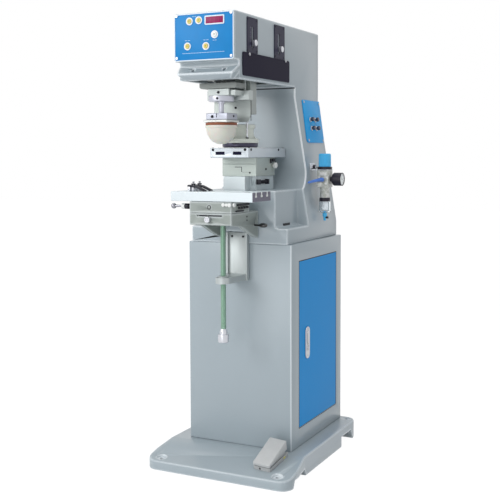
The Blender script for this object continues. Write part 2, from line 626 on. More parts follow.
def control_panel():
    low = (-PANEL_SIDE, HEAD_BOTTOM + PANEL_BOTTOM_RISE)
    body = outline("control_panel", rounded(low, (PANEL_SIDE, PANEL_TOP), PANEL_CORNER), "Y",
                   PANEL_FACE, PANEL_BACK, BLUE_ENAMEL)
    bezel_high = (BEZEL_X[1], OVERALL_HEIGHT - BEZEL_DROP[0])
    bezel_low = (BEZEL_X[0], OVERALL_HEIGHT - BEZEL_DROP[1])
    bezel = outline("display_bezel", rounded(bezel_low, bezel_high, BEZEL_WIDTH), "Y",
                    PANEL_FACE - BEZEL_PROUD, PANEL_FACE + PANEL_THICKNESS / 2)
    window = box("display_window",
                 (bezel_low[0] + BEZEL_WIDTH, PANEL_FACE - BEZEL_PROUD - OVERRUN, bezel_low[1] + BEZEL_WIDTH),
                 (bezel_high[0] - BEZEL_WIDTH, PANEL_FACE + PANEL_THICKNESS / 3,
                  bezel_high[1] - BEZEL_WIDTH))
    fuse(body, bezel)
    cut(body, window)
    for name, (x, drop, finish) in BUTTONS.items():
        z = OVERALL_HEIGHT - drop
        ring = rod(name + "_ring", (x, PANEL_FACE - RING_PROUD, z), BUTTON_RING,
                   RING_PROUD + PANEL_THICKNESS / 2, "Y", sides=20)
        bore = rod(name + "_bore", (x, PANEL_FACE - RING_PROUD - OVERRUN, z), BUTTON_RADIUS + GAP,
                   RING_PROUD + PANEL_THICKNESS + OVERRUN * 2, "Y", sides=16)
        fuse(body, ring)
        cut(body, bore)
        push_button(name, x, z, finish)


def push_button(name, x, z, finish):
    """A cap that slides through the panel, kept by a flange behind it."""
    slide = pivot(name + "_travel", (x, PANEL_FACE, z))
    cap = PANEL_THICKNESS + BUTTON_PROUD
    behind = -GAP
    flange = behind - BUTTON_FLANGE_THICKNESS
    profile = [(0, cap), (BUTTON_RADIUS - BUTTON_EDGE, cap), (BUTTON_RADIUS, cap - BUTTON_EDGE),
               (BUTTON_RADIUS, behind), (BUTTON_FLANGE, behind), (BUTTON_FLANGE, flange),
               (BUTTON_STEM_RADIUS, flange), (BUTTON_STEM_RADIUS, -BUTTON_STEM), (0, -BUTTON_STEM)]
    turned(name, (x, PANEL_BACK, z), profile, "-Y", finish, slide, sides=16)


# Head side fittings: a black cover plate, two slotted scale plates and their sliding stroke knobs.
COVER_Y = (-0.354, -0.047)
COVER_RISE = (0.010, 0.074)
COVER_THICKNESS = 0.0025
COVER_CORNER = 0.006
SCALE_FRONT_Y = (-0.3266, -0.2617)
SCALE_REAR_Y = (-0.151, -0.081)
SCALE_TOP_DROP = 0.009
SCALE_THICKNESS = 0.002
STROKE_FRONT_Y = -0.294
STROKE_REAR_Y = -0.120
STROKE_KNOB_RISE = 0.102
STROKE_KNOB_RADIUS = 0.0088
STROKE_KNOB_LENGTH = 0.013
STROKE_KNOB_HEAD = 0.0085
STROKE_SHAFT_RADIUS = 0.004
STROKE_NUT_RADIUS = 0.0075
STROKE_NUT_THICKNESS = 0.003
STROKE_DOWN = 0.010
STROKE_UP = 0.040
STROKE_KNOB_Z = HEAD_BOTTOM + STROKE_KNOB_RISE
STROKE_SLOT_Z = (STROKE_KNOB_Z - STROKE_DOWN - STROKE_SHAFT_RADIUS - GAP * 2,
                 STROKE_KNOB_Z + STROKE_UP + STROKE_SHAFT_RADIUS + GAP * 2)


def side_cover():
    face = HEAD_SIDE + GAP
    low = (COVER_Y[0], HEAD_BOTTOM + COVER_RISE[0])
    high = (COVER_Y[1], HEAD_BOTTOM + COVER_RISE[1])
    outline("side_cover", rounded(low, high, COVER_CORNER), "X", face, face + COVER_THICKNESS, DARK_ENAMEL)


def scale_plate(name, span, knob_y):
    face = HEAD_SIDE + GAP
    low = (span[0], HEAD_BOTTOM + COVER_RISE[1] + GAP * 2)
    high = (span[1], OVERALL_HEIGHT - SCALE_TOP_DROP)
    plate = outline(name, rounded(low, high, COVER_CORNER / 3), "X", face, face + SCALE_THICKNESS,
                    DARK_ENAMEL)
    slot = outline(name + "_slot",
                   rounded((knob_y - STROKE_SLOT_SIDE, STROKE_SLOT_Z[0]),
                           (knob_y + STROKE_SLOT_SIDE, STROKE_SLOT_Z[1]), STROKE_SLOT_SIDE - GAP),
                   "X", face - OVERRUN, face + SCALE_THICKNESS + OVERRUN)
    cut(plate, slot)


def stroke_knob(name, y):
    """A thumb nut on a stud that slides in its slot and is held by a nut inside the head."""
    slide = pivot(name + "_travel", (HEAD_SIDE, y, STROKE_KNOB_Z))
    seat = GAP + SCALE_THICKNESS + GAP
    outer = seat + STROKE_KNOB_LENGTH
    inner = -HEAD_WALL - GAP
    foot = inner - STROKE_NUT_THICKNESS
    profile = knob_profile(STROKE_KNOB_RADIUS, outer, outer - STROKE_KNOB_HEAD, seat,
                           STROKE_SHAFT_RADIUS, inner)
    profile[-1:] = [(STROKE_NUT_RADIUS, inner), (STROKE_NUT_RADIUS, foot), (0, foot)]
    turned(name, (HEAD_SIDE, y, STROKE_KNOB_Z), profile, "X", STEEL, slide, sides=16)


# Flow panel: a blue plate on the flared side of the column with four speed-control knobs.
FLOW_DROP = (0.1381, 0.0056)
FLOW_LOW_Y = (0.037, 0.175)
FLOW_HIGH_Y = (0.047, 0.182)
FLOW_THICKNESS = 0.003
FLOW_KNOB_Y = (0.084, 0.122)
FLOW_KNOB_RISE = (0.045, 0.0725)
FLOW_KNOB_RADIUS = 0.0065
FLOW_KNOB_LENGTH = 0.014
FLOW_KNOB_HEAD = 0.0085
FLOW_SHAFT_RADIUS = 0.0028
FLOW_LEAN = -atan(COLUMN_SLOPE)
FLOW_LOW_Z = TAPER_END - FLOW_DROP[0]
FLOW_HIGH_Z = TAPER_END - FLOW_DROP[1]


def flow_panel():
    """The panel and its knobs in a frame tilted with the column's side."""
    seat = pivot("flow_panel_seat", (column_side(FLOW_LOW_Z), 0, FLOW_LOW_Z), turned_by=(0, FLOW_LEAN, 0))
    height = (FLOW_HIGH_Z - FLOW_LOW_Z) / cos(FLOW_LEAN)
    points = [(FLOW_LOW_Y[0], 0), (FLOW_LOW_Y[1], 0), (FLOW_HIGH_Y[1], height), (FLOW_HIGH_Y[0], height)]
    plate = outline("flow_panel", points, "X", GAP, GAP + FLOW_THICKNESS, BLUE_ENAMEL, seat)
    for row, rise in enumerate(FLOW_KNOB_RISE):
        for column, y in enumerate(FLOW_KNOB_Y):
            name = f"flow_knob_{row * 2 + column + 1}"
            bore = rod(name + "_bore", (0, y, rise), FLOW_SHAFT_RADIUS + GAP, FLOW_THICKNESS * 2, "X",
                       parent=seat, sides=16)
            cut(plate, bore)
            turn = pivot(name + "_turn", (0, y, rise), seat)
            foot = GAP + FLOW_THICKNESS + GAP
            outer = foot + FLOW_KNOB_LENGTH
            profile = knob_profile(FLOW_KNOB_RADIUS, outer, outer - FLOW_KNOB_HEAD, foot,
                                   FLOW_SHAFT_RADIUS, GAP)
            turned(name, (0, y, rise), profile, "X", STEEL, turn, sides=16)


# Carriage drive inside the head: two guide rods between end plates, and the air cylinder behind.
GUIDE_X = 0.064
GUIDE_RISE = 0.080
GUIDE_RADIUS = 0.007
GUIDE_PLATE = 0.0075
GUIDE_PLATE_RISE = (0.050, 0.110)
GUIDE_PLATE_SIDE = 0.075
GUIDE_BACK = 0.110
CYLINDER_RISE = 0.085
CYLINDER_RADIUS = 0.020
CYLINDER_CLEAR = 0.0105
PISTON_RADIUS = 0.006
PISTON_IN_CYLINDER = 0.014
CYLINDER_FRONT = CARRIAGE_BACK + CARRIAGE_TRAVEL + CYLINDER_CLEAR
GUIDE_Z = HEAD_BOTTOM + GUIDE_RISE
CYLINDER_Z = HEAD_BOTTOM + CYLINDER_RISE


def carriage_guide():
    front = CAVITY_FRONT + GAP
    low = HEAD_BOTTOM + GUIDE_PLATE_RISE[0]
    high = HEAD_BOTTOM + GUIDE_PLATE_RISE[1]
    body = box("carriage_guide", (-GUIDE_PLATE_SIDE, front, low),
               (GUIDE_PLATE_SIDE, front + GUIDE_PLATE, high), MACHINED)
    back = box("guide_back_plate", (-CAVITY_SIDE + GAP, GUIDE_BACK, HEAD_BOTTOM + HEAD_FLOOR + GAP),
               (CAVITY_SIDE - GAP, GUIDE_BACK + GUIDE_PLATE, high))
    for name, sign in (("left", -1), ("right", 1)):
        fuse(body, rod("guide_rod_" + name, (sign * GUIDE_X, front + GUIDE_PLATE / 2, GUIDE_Z),
                       GUIDE_RADIUS, GUIDE_BACK - front, "Y", sides=20))
    fuse(body, back)


def carriage_cylinder():
    length = GUIDE_BACK - GAP - CYLINDER_FRONT
    body = rod("carriage_cylinder", (0, CYLINDER_FRONT, CYLINDER_Z), CYLINDER_RADIUS, length, "Y", MACHINED)
    bore = rod("cylinder_bore", (0, CYLINDER_FRONT - OVERRUN, CYLINDER_Z), PISTON_RADIUS + RUNNING_GAP,
               PISTON_IN_CYLINDER + CARRIAGE_TRAVEL + OVERRUN * 2, "Y", sides=16)
    cut(body, bore)


# Carriage: a block on the guide rods with a leg behind the pad train, and the ink cup's driver plate.
CARRIAGE_SIDE = 0.0752
CARRIAGE_FRONT = -0.336
CARRIAGE_RISE = (0.008, 0.115)
LEG_SIDE = 0.0587
LEG_FRONT = -0.2322
DRIVER_THICKNESS = 0.003
DRIVER_CHAMFER = (0.007, 0.019)
DRIVER_OVER_HOOD = 0.006
LEG_OVER_HOOD = 0.028
RAM_ROD_RADIUS = 0.008
RAM_ROD_Y = -0.2925
RAM_GUIDE_X = 0.045
RAM_GUIDE_Y = -0.2455
RAM_GUIDE_RADIUS = 0.0045
RAM_ROD_TOP_RISE = RAM_TRAVEL * 2
CARRIAGE_LOW = HEAD_BOTTOM + CARRIAGE_RISE[0]
CARRIAGE_HIGH = HEAD_BOTTOM + CARRIAGE_RISE[1]


def carriage(travel):
    body = box("carriage_block", (-CARRIAGE_SIDE, CARRIAGE_FRONT, CARRIAGE_LOW),
               (CARRIAGE_SIDE, CARRIAGE_BACK, CARRIAGE_HIGH), MACHINED, travel)
    leg = box("carriage_leg", (-LEG_SIDE, LEG_FRONT, HOOD_TOP + LEG_OVER_HOOD),
              (LEG_SIDE, CARRIAGE_BACK - SLIDE_GAP, CARRIAGE_LOW + OVERRUN), parent=travel)
    piston = rod("carriage_piston", (0, CARRIAGE_BACK - OVERRUN, CYLINDER_Z), PISTON_RADIUS,
                 CYLINDER_FRONT + PISTON_IN_CYLINDER - CARRIAGE_BACK, "Y", parent=travel, sides=16)
    fuse(body, leg, piston)
    through = CARRIAGE_HIGH - CARRIAGE_LOW + OVERRUN * 2
    for name, sign in (("left", -1), ("right", 1)):
        guide_bore = rod("guide_bore_" + name, (sign * GUIDE_X, CARRIAGE_FRONT - OVERRUN, GUIDE_Z),
                         GUIDE_RADIUS + RUNNING_GAP, CARRIAGE_BACK - CARRIAGE_FRONT + OVERRUN * 2, "Y",
                         parent=travel, sides=20)
        ram_bore = rod("ram_guide_bore_" + name, (sign * RAM_GUIDE_X, RAM_GUIDE_Y, CARRIAGE_LOW - OVERRUN),
                       RAM_GUIDE_RADIUS + RUNNING_GAP, through, parent=travel, sides=16)
        pin_bore = rod("cup_pin_bore_" + name, (sign * CUP_PIN_X, CUP_PIN_Y, HOOD_TOP),
                       CUP_PIN_RADIUS + RUNNING_GAP, LEG_OVER_HOOD + CUP_PIN_SEAT + RUNNING_GAP,
                       parent=travel, sides=12)
        cut(body, guide_bore, ram_bore, pin_bore)
    cut(body, rod("ram_rod_bore", (0, RAM_ROD_Y, CARRIAGE_LOW - OVERRUN), RAM_ROD_RADIUS + RUNNING_GAP,
                  through, parent=travel, sides=20))
    across, up = DRIVER_CHAMFER
    low = HOOD_TOP + DRIVER_OVER_HOOD
    plate = mirrored([(LEG_SIDE, CARRIAGE_LOW - GAP), (LEG_SIDE, low + up), (LEG_SIDE - across, low)])
    back = LEG_FRONT - GAP
    outline("cup_driver_plate", plate, "Y", back - DRIVER_THICKNESS, back, MACHINED, travel)


# Ink cup: a steel ring on the printing plate under a flared hood, dragged by two pins.
RING_RADIUS = 0.052
RING_INNER = 0.0445
RING_HEIGHT = 0.0125
HOOD_FLANGE = 0.054
HOOD_NECK = 0.0395
HOOD_CROWN = 0.0445
HOOD_HEIGHT = 0.0535
HOOD_FLANGE_HEIGHT = 0.012
HOOD_FLARE_TOP = 0.0332
HOOD_FLARE_ANGLES = (0, 22, 45, 68, 90)
HOOD_NECK_TOP = 0.0396
HOOD_CROWN_FOOT = 0.0439
HOOD_WALL = 0.004
HOOD_LINING = 0.001
HOOD_INNER_RISE = 0.018
CUP_PIN_X = 0.038
CUP_PIN_Y = -0.2166
CUP_PIN_RADIUS = 0.0028
CUP_PIN_SEAT = 0.006


def ink_cup(travel):
    turned("ink_cup_ring", (0, CUP_Y, RING_FOOT),
           [(RING_RADIUS, RING_HEIGHT), (RING_RADIUS, 0), (RING_INNER, 0), (RING_INNER, RING_HEIGHT)],
           finish=STEEL, parent=travel, sides=28, ring=True)
    top = HOOD_HEIGHT
    flare_bottom = HOOD_FLANGE_HEIGHT
    flare = [(HOOD_NECK + (HOOD_FLANGE - HOOD_NECK) * (1 - cos(radians(angle))),
              flare_bottom + (HOOD_FLARE_TOP - flare_bottom) * (1 - sin(radians(angle))))
             for angle in HOOD_FLARE_ANGLES]
    outer = [(0, top), (HOOD_CROWN - HOOD_WALL / 2, top), (HOOD_CROWN, top - HOOD_WALL / 2),
             (HOOD_CROWN, HOOD_CROWN_FOOT), (HOOD_NECK, HOOD_NECK_TOP)] + flare + [(HOOD_FLANGE, 0)]
    inner = [(RING_INNER - HOOD_LINING, 0), (RING_INNER - HOOD_LINING, flare_bottom / 2),
             (HOOD_NECK - HOOD_WALL, HOOD_INNER_RISE), (HOOD_NECK - HOOD_WALL, top - HOOD_WALL),
             (0, top - HOOD_WALL)]
    hood = turned("ink_cup_hood", (0, CUP_Y, HOOD_FOOT), outer + inner, finish=CREAM_CERAMIC,
                  parent=travel, sides=28)
    for name, sign in (("left", -1), ("right", 1)):
        x = sign * CUP_PIN_X
        pin = rod("cup_pin_" + name, (x, CUP_PIN_Y, HOOD_FOOT + HOOD_FLANGE_HEIGHT / 2), CUP_PIN_RADIUS,
                  HOOD_TOP + LEG_OVER_HOOD + CUP_PIN_SEAT - HOOD_FOOT - HOOD_FLANGE_HEIGHT / 2,
                  parent=travel, sides=12)
        fuse(hood, pin)


# Ram: what goes down with the pad. A dovetail plate on the piston rod carries the pad train, and a
# crosshead on two guide rods keeps it from turning. Each level is counted down from the head.
DOVETAIL_SIDE = 0.0578
DOVETAIL_FRONT = -0.323
DOVETAIL_BACK = -0.2685
DOVETAIL_DROP = 0.005
DOVETAIL_THICKNESS = 0.015
DOVETAIL_FLARE = 0.004
CROSSHEAD_SIDE = 0.067
CROSSHEAD_Y = (-0.262, -0.2365)
CROSSHEAD_DROP = (0.023, 0.0505)
ARM_X = (0.0338, 0.050)
ARM_HEIGHT = 0.019
TIE_HEIGHT = 0.012
BLOCK_SIDE = 0.0335
BLOCK_FRONT_Y = -0.3185
BLOCK_BACK_Y = -0.2735
BLOCK_HEIGHT = 0.0205
STAGE_RADIUS = 0.0355
STAGE_HEIGHT = 0.015
SHAFT_RADIUS = 0.0073
SHAFT_LENGTH = 0.0324
SHAFT_IN_CLAMP = 0.012
SHAFT_COLLAR = 0.0105
SHAFT_COLLAR_HEIGHT = 0.004
CLAMP_SIDE = 0.0336
CLAMP_Y = (-0.330, -0.268)
CLAMP_HEIGHT = 0.0185
CLAMP_SLIT = 0.002
PLATE_SIDE = 0.037
PLATE_HEIGHT = 0.0072
PAD_BASE_RADIUS = 0.0442
PAD_BASE_HEIGHT = 0.0069
PAD_RADIUS = 0.045
PAD_FLANGE = 0.007
PAD_HEIGHT = 0.0524
PAD_DOME_SIDE = 0.0425
PAD_DOME_POWER = 0.9
PAD_STEPS = 8
DOVETAIL_TOP = HEAD_BOTTOM - DOVETAIL_DROP
DOVETAIL_FOOT = DOVETAIL_TOP - DOVETAIL_THICKNESS
BLOCK_TOP = DOVETAIL_FOOT - GAP
BLOCK_FOOT = BLOCK_TOP - BLOCK_HEIGHT
STAGE_TOP = BLOCK_FOOT - GAP
STAGE_FOOT = STAGE_TOP - STAGE_HEIGHT
CLAMP_TOP = STAGE_FOOT - SHAFT_LENGTH
CLAMP_FOOT = CLAMP_TOP - CLAMP_HEIGHT
PLATE_TOP = CLAMP_FOOT - GAP
PLATE_FOOT = PLATE_TOP - PLATE_HEIGHT
PAD_BASE_TOP = PLATE_FOOT - GAP
PAD_BASE_FOOT = PAD_BASE_TOP - PAD_BASE_HEIGHT
PAD_TOP = PAD_BASE_FOOT - GAP
CROSSHEAD_TOP = HEAD_BOTTOM - CROSSHEAD_DROP[0]
CROSSHEAD_FOOT = HEAD_BOTTOM - CROSSHEAD_DROP[1]


def ram(travel):
    plate = outline("ram_plate",
                    mirrored([(DOVETAIL_SIDE, DOVETAIL_TOP),
                              (DOVETAIL_SIDE, DOVETAIL_FOOT + DOVETAIL_FLARE),
                              (DOVETAIL_SIDE - DOVETAIL_FLARE, DOVETAIL_FOOT)]),
                    "Y", DOVETAIL_FRONT, DOVETAIL_BACK, MACHINED, travel)
    piston = rod("ram_piston", (0, RAM_ROD_Y, DOVETAIL_TOP - DOVETAIL_THICKNESS / 2), RAM_ROD_RADIUS,
                 DOVETAIL_THICKNESS / 2 + DOVETAIL_DROP + RAM_ROD_TOP_RISE, parent=travel, sides=20)
    tie = box("ram_tie", (ARM_X[0], DOVETAIL_BACK - OVERRUN, DOVETAIL_TOP - TIE_HEIGHT),
              (DOVETAIL_SIDE - DOVETAIL_FLARE, CROSSHEAD_Y[0] - GAP, DOVETAIL_TOP), parent=travel)
    fuse(plate, piston, tie)
    crosshead = box("ram_crosshead", (-CROSSHEAD_SIDE, CROSSHEAD_Y[0], CROSSHEAD_FOOT),
                    (CROSSHEAD_SIDE, CROSSHEAD_Y[1], CROSSHEAD_TOP), MACHINED, travel)
    round_edges(crosshead, GAP * 3, 1)
    for name, sign in (("left", -1), ("right", 1)):
        foot = CROSSHEAD_FOOT + OVERRUN
        fuse(crosshead, rod("ram_guide_" + name, (sign * RAM_GUIDE_X, RAM_GUIDE_Y, foot), RAM_GUIDE_RADIUS,
                            HEAD_BOTTOM + RAM_ROD_TOP_RISE - foot, parent=travel, sides=16))
    arm = box("crosshead_arm", (ARM_X[0], BLOCK_FRONT_Y + BLOCK_HEIGHT / 3, BLOCK_TOP - ARM_HEIGHT),
              (ARM_X[1], CROSSHEAD_Y[0] + OVERRUN, CROSSHEAD_TOP - OVERRUN), parent=travel)
    fuse(crosshead, arm)


def pad_train(travel):
    block = box("pad_slide_block", (-BLOCK_SIDE, BLOCK_FRONT_Y, BLOCK_FOOT),
                (BLOCK_SIDE, BLOCK_BACK_Y, BLOCK_TOP), MACHINED, travel)
    round_edges(block, GAP * 4, 1)
    foot = -SHAFT_LENGTH - SHAFT_IN_CLAMP
    stage = [(0, STAGE_HEIGHT), (STAGE_RADIUS, STAGE_HEIGHT), (STAGE_RADIUS, OVERRUN),
             (STAGE_RADIUS - OVERRUN, 0), (SHAFT_COLLAR, 0), (SHAFT_COLLAR, -SHAFT_COLLAR_HEIGHT),
             (SHAFT_RADIUS, -SHAFT_COLLAR_HEIGHT), (SHAFT_RADIUS, foot), (0, foot)]
    turned("pad_shaft", (0, RAM_Y, STAGE_FOOT), stage, finish=STEEL, parent=travel)
    clamp = box("pad_clamp", (-CLAMP_SIDE, CLAMP_Y[0], CLAMP_FOOT), (CLAMP_SIDE, CLAMP_Y[1], CLAMP_TOP),
                MACHINED, travel)
    round_edges(clamp, GAP * 4, 1)
    bore = rod("clamp_bore", (0, RAM_Y, CLAMP_TOP - SHAFT_IN_CLAMP - GAP), SHAFT_RADIUS + GAP,
               SHAFT_IN_CLAMP + OVERRUN * 2, parent=travel, sides=ROUND)
    slit = box("clamp_slit", (-CLAMP_SLIT / 2, CLAMP_Y[0] - OVERRUN, CLAMP_TOP - SHAFT_IN_CLAMP - GAP),
               (CLAMP_SLIT / 2, RAM_Y, CLAMP_TOP + OVERRUN), parent=travel)
    cut(clamp, bore, slit)
    plate = box("pad_plate", (-PLATE_SIDE, RAM_Y - PLATE_SIDE, PLATE_FOOT),
                (PLATE_SIDE, RAM_Y + PLATE_SIDE, PLATE_TOP), MACHINED, travel)
    round_edges(plate, GAP * 4, 1)
    base = PAD_BASE_HEIGHT
    turned("pad_base", (0, RAM_Y, PAD_BASE_FOOT),
           [(0, base), (PAD_BASE_RADIUS - OVERRUN / 2, base), (PAD_BASE_RADIUS, base - OVERRUN / 2),
            (PAD_BASE_RADIUS, 0), (0, 0)], finish=PAD_WOOD, parent=travel, sides=32)
    dome = PAD_HEIGHT - PAD_FLANGE
    edge = OVERRUN / 2
    angles = [radians(90 * step / PAD_STEPS) for step in range(PAD_STEPS)]
    profile = ([(0, 0), (PAD_RADIUS - edge, 0), (PAD_RADIUS, -edge), (PAD_RADIUS, -PAD_FLANGE + edge),
                (PAD_RADIUS - edge, -PAD_FLANGE)]
               + [(PAD_DOME_SIDE * cos(angle) ** PAD_DOME_POWER, -PAD_FLANGE - dome * sin(angle))
                  for angle in angles] + [(0, -PAD_HEIGHT)])
    turned("print_pad", (0, RAM_Y, PAD_TOP), profile, finish=SILICONE, parent=travel, sides=32)


# Printing plate bed on its pedestal: the cup slides on the plate between doctoring and printing.
PEDESTAL_SIDE = 0.035
PEDESTAL_WIDE_SIDE = 0.051
PEDESTAL_OVERHANG = 0.027
PEDESTAL_STEP = 0.009
PEDESTAL_BACK = -0.067
PEDESTAL_HEIGHT = 0.0407
PEDESTAL_SLOT_X = (0.037, 0.050)
PEDESTAL_SLOT_RISE = (0.016, 0.038)
PEDESTAL_SLOT_DEPTH = 0.006
BED_BLOCK_SIDE = 0.055
BED_BLOCK_INSET = 0.005
BED_SEAM_RISE = 0.0345
BED_SEAM = 0.0012
BED_SIDE = 0.062
BED_BACK = -0.003
BED_HEIGHT = 0.028
BED_SLOTS_X = ((-0.044, -0.015), (0.012, 0.039))
BED_SLOT_RISE = (0.0085, 0.0175)
BED_SLOT_DEPTH = 0.020
CLICHE_SIDE = 0.055
CLICHE_MARGIN = 0.007
CLICHE_THICKNESS = 0.001
BED_KNOB_Y = -0.078
BED_KNOB_RISE = 0.030
BED_KNOB_RADIUS = 0.009
BED_KNOB_LENGTH = 0.012
BED_KNOB_HEAD = 0.008
BED_KNOB_SHAFT = 0.003
BED_KNOB_SEAT = 0.010
BED_Y = (RAM_Y + PAD_RADIUS + RUNNING_GAP, BED_BACK)
BED_BLOCK_HEIGHT = BED_RISE - PEDESTAL_HEIGHT - BED_HEIGHT - GAP * 3
PEDESTAL_Y = (BLOCK_FRONT - PEDESTAL_OVERHANG, BLOCK_FRONT + PEDESTAL_STEP, PEDESTAL_BACK)
BED_BLOCK_Y = (BLOCK_FRONT + BED_BLOCK_INSET, PEDESTAL_BACK)
PEDESTAL_FOOT = SHELF_TOP + GAP
BED_BLOCK_FOOT = PEDESTAL_FOOT + PEDESTAL_HEIGHT + GAP
BED_FOOT = BED_BLOCK_FOOT + BED_BLOCK_HEIGHT + GAP
BED_TOP = BED_FOOT + BED_HEIGHT
CLICHE_FOOT = BED_TOP + GAP
RING_FOOT = CLICHE_FOOT + CLICHE_THICKNESS + GAP
HOOD_FOOT = RING_FOOT + RING_HEIGHT + GAP
HOOD_TOP = HOOD_FOOT + HOOD_HEIGHT
BED_KNOB_Z = BED_BLOCK_FOOT + BED_KNOB_RISE


def plate_bed():
    front, step, back = PEDESTAL_Y
    top = PEDESTAL_FOOT + PEDESTAL_HEIGHT
    pedestal = box("bed_pedestal", (-PEDESTAL_WIDE_SIDE, step, PEDESTAL_FOOT),
                   (PEDESTAL_WIDE_SIDE, back, top), MACHINED)
    fuse(pedestal, box("pedestal_front", (-PEDESTAL_SIDE, front, PEDESTAL_FOOT),
                       (PEDESTAL_SIDE, step + OVERRUN, top)))
    slot = box("pedestal_slot", (PEDESTAL_SLOT_X[0], step - OVERRUN, PEDESTAL_FOOT + PEDESTAL_SLOT_RISE[0]),
               (PEDESTAL_SLOT_X[1], step + PEDESTAL_SLOT_DEPTH, PEDESTAL_FOOT + PEDESTAL_SLOT_RISE[1]))
    cut(pedestal, slot)
    block = box("bed_block", (-BED_BLOCK_SIDE, BED_BLOCK_Y[0], BED_BLOCK_FOOT),
                (BED_BLOCK_SIDE, BED_BLOCK_Y[1], BED_BLOCK_FOOT + BED_BLOCK_HEIGHT), MACHINED)
    seam_low = BED_BLOCK_FOOT + BED_SEAM_RISE
    seam = box("bed_seam", (-BED_BLOCK_SIDE - OVERRUN, BED_BLOCK_Y[0] - OVERRUN, seam_low),
               (BED_BLOCK_SIDE + OVERRUN, BED_BLOCK_Y[0] + BED_SEAM, seam_low + BED_SEAM))
    seat = rod("bed_knob_bore", (BED_BLOCK_SIDE - BED_KNOB_SEAT - GAP, BED_KNOB_Y, BED_KNOB_Z),
               BED_KNOB_SHAFT + GAP, BED_KNOB_SEAT * 2, "X", sides=16)
    cut(block, seam, seat)
    bed = box("plate_bed", (-BED_SIDE, BED_Y[0], BED_FOOT), (BED_SIDE, BED_Y[1], BED_TOP), MACHINED)
    round_edges(bed, GAP * 4, 1)
    for name, span in (("left", BED_SLOTS_X[0]), ("right", BED_SLOTS_X[1])):
        cut(bed, box("bed_slot_" + name, (span[0], BED_Y[0] - OVERRUN, BED_FOOT + BED_SLOT_RISE[0]),
                     (span[1], BED_Y[0] + BED_SLOT_DEPTH, BED_FOOT + BED_SLOT_RISE[1])))
    box("cliche_plate", (-CLICHE_SIDE, BED_Y[0] + CLICHE_MARGIN, CLICHE_FOOT),
        (CLICHE_SIDE, BED_Y[1] - CLICHE_MARGIN, CLICHE_FOOT + CLICHE_THICKNESS), STEEL)
    turn = pivot("bed_knob_turn", (BED_BLOCK_SIDE, BED_KNOB_Y, BED_KNOB_Z))
    outer = GAP + BED_KNOB_LENGTH
    turned("bed_knob", (BED_BLOCK_SIDE, BED_KNOB_Y, BED_KNOB_Z),
           knob_profile(BED_KNOB_RADIUS, outer, outer - BED_KNOB_HEAD, GAP, BED_KNOB_SHAFT, -BED_KNOB_SEAT),
           "X", WHITE_PLASTIC, turn, sides=20)


# Knee: a bracket that slides up the casting on its way, lifted by the screw below it.
KNEE_SIDE = 0.066
KNEE_REACH = 0.170
KNEE_CLEARANCE = 0.0035
KNEE_RISE = 0.0970
KNEE_FRONT_HEIGHT = 0.0325
KNEE_UNDERSIDE = ((0.110, 0.0395), (0.061, 0.0605), (0.025, 0.0745))
KNEE_HEIGHT = 0.0785
KNEE_SLAB = 0.0320
KNEE_CHEEK = 0.012
KNEE_SLOT_X = (-0.043, 0.038)
KNEE_SLOT_DROP = (0.0045, 0.0085)
KNEE_SLOT_DEPTH = 0.004
FEED_KNOB_X = -0.0065
FEED_KNOB_DROP = 0.0175
FEED_KNOB_RADIUS = 0.0085
FEED_KNOB_LENGTH = 0.010
FEED_KNOB_EDGE = 0.0013
FEED_SOCKET = (0.003, 0.0038)
FEED_SOCKET_DEPTH = 0.002
FEED_SHAFT_RADIUS = 0.0035
FEED_SHAFT_SEAT = 0.011
KNEE_LEVER_REACH = 0.029
KNEE_LEVER_DROP = 0.040
LEVER_NECK = 0.0028
LEVER_BULB = 0.0068
LEVER_LENGTH = 0.042
LEVER_STEM = 0.015
LEVER_TIP = 0.002
LEVER_STEPS = 7
LEVER_SEAT = 0.008
KNEE_FRONT = BLOCK_FRONT - KNEE_REACH
KNEE_BACK = BLOCK_FRONT - KNEE_CLEARANCE
KNEE_LEVER_Y = BLOCK_FRONT - KNEE_LEVER_REACH
KNEE_TOP = CASTING_FOOT + KNEE_RISE
KNEE_FOOT = KNEE_TOP - KNEE_HEIGHT
FEED_KNOB_Z = KNEE_TOP - FEED_KNOB_DROP
KNEE_LEVER_Z = KNEE_TOP - KNEE_LEVER_DROP


